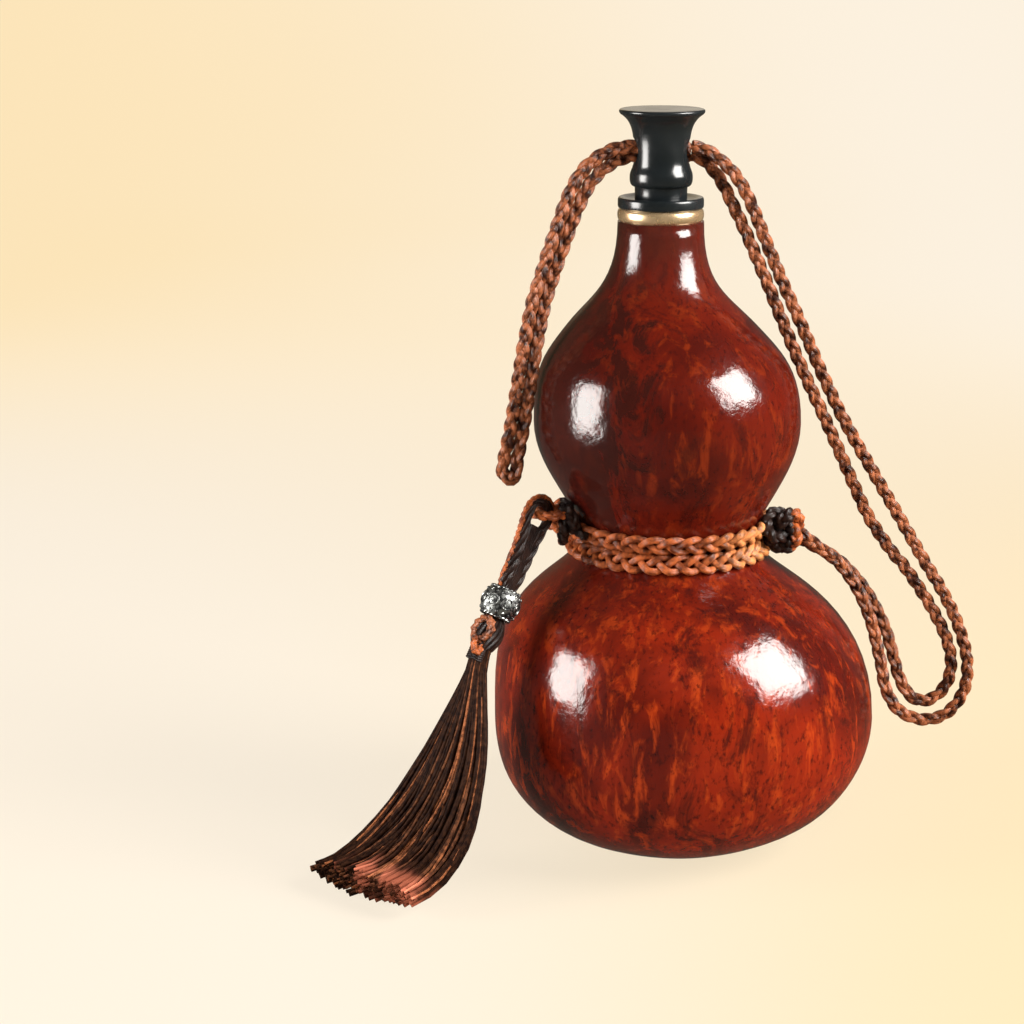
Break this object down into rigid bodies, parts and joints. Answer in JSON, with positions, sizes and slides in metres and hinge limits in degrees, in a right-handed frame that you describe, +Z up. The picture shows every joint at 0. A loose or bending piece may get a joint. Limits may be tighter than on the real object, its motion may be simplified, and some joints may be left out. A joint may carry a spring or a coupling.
{
  "type": "gourd water bottle",
  "caption": "Double-lobed gourd bottle with a lift-out turned stopper, brass neck ring, plaited waist cord, doubled carrying cord and a beaded tassel.",
  "frame": {"origin": "centre of the flat foot that the bottle stands on", "axes": "+Z up through the bottle; +X to the side where the carrying cord hangs; -Y to the front, with the tassel at front left"},
  "size_m": [0.2143, 0.1337, 0.2378],
  "materials": {
    "gourd": "high-gloss varnish over mottled red-brown gourd skin",
    "brass": "polished",
    "black_turning": "satin, turned",
    "cork": "smooth cork",
    "silicone": "soft",
    "copper_cord": "satin plaited cord",
    "brown_cord": "satin plaited cord",
    "dark_cord": "satin cord",
    "tassel_thread": "satin thread",
    "silver": "blackened silver filigree"
  },
  "bodies": {
    "bottle": {"gourd_shell": "gourd", "brass_ring": "brass", "mouth_collar": "black_turning", "waist_cord_upper": "copper_cord", "waist_cord_lower": "copper_cord", "waist_knot_right": "dark_cord", "waist_knot_left": "dark_cord", "carry_cord_outer": "brown_cord", "carry_cord_inner": "brown_cord"},
    "stopper": {"stopper_knob": "black_turning", "stopper_plug": "cork", "seal_rings": "silicone", "carry_loop": "brown_cord"},
    "tassel": {"tassel_hanger": "dark_cord", "tassel_head": "copper_cord", "tassel_binding": "dark_cord", "tassel_skirt": "tassel_thread"},
    "bead": {"silver_bead": "silver"}
  },
  "joints": [
    {"name": "stopper_pull", "type": "slide", "parent": "bottle", "child": "stopper", "axis": [0, 0, 1], "range_m": [0, 0.035], "deforming": ["carry_cord_outer", "carry_cord_inner"]},
    {"name": "tassel_swing", "type": "hinge", "parent": "bottle", "child": "tassel", "pos_m": [-0.04493, -0.01982, 0.1135], "axis": [-0.6428, 0.766, 0], "range_deg": [0, 40]},
    {"name": "bead_turn", "type": "hinge", "parent": "tassel", "child": "bead", "pos_m": [-0.05685, -0.02981, 0.08761], "axis": [0.3945, 0.3311, 0.8572], "continuous": true}
  ]
}
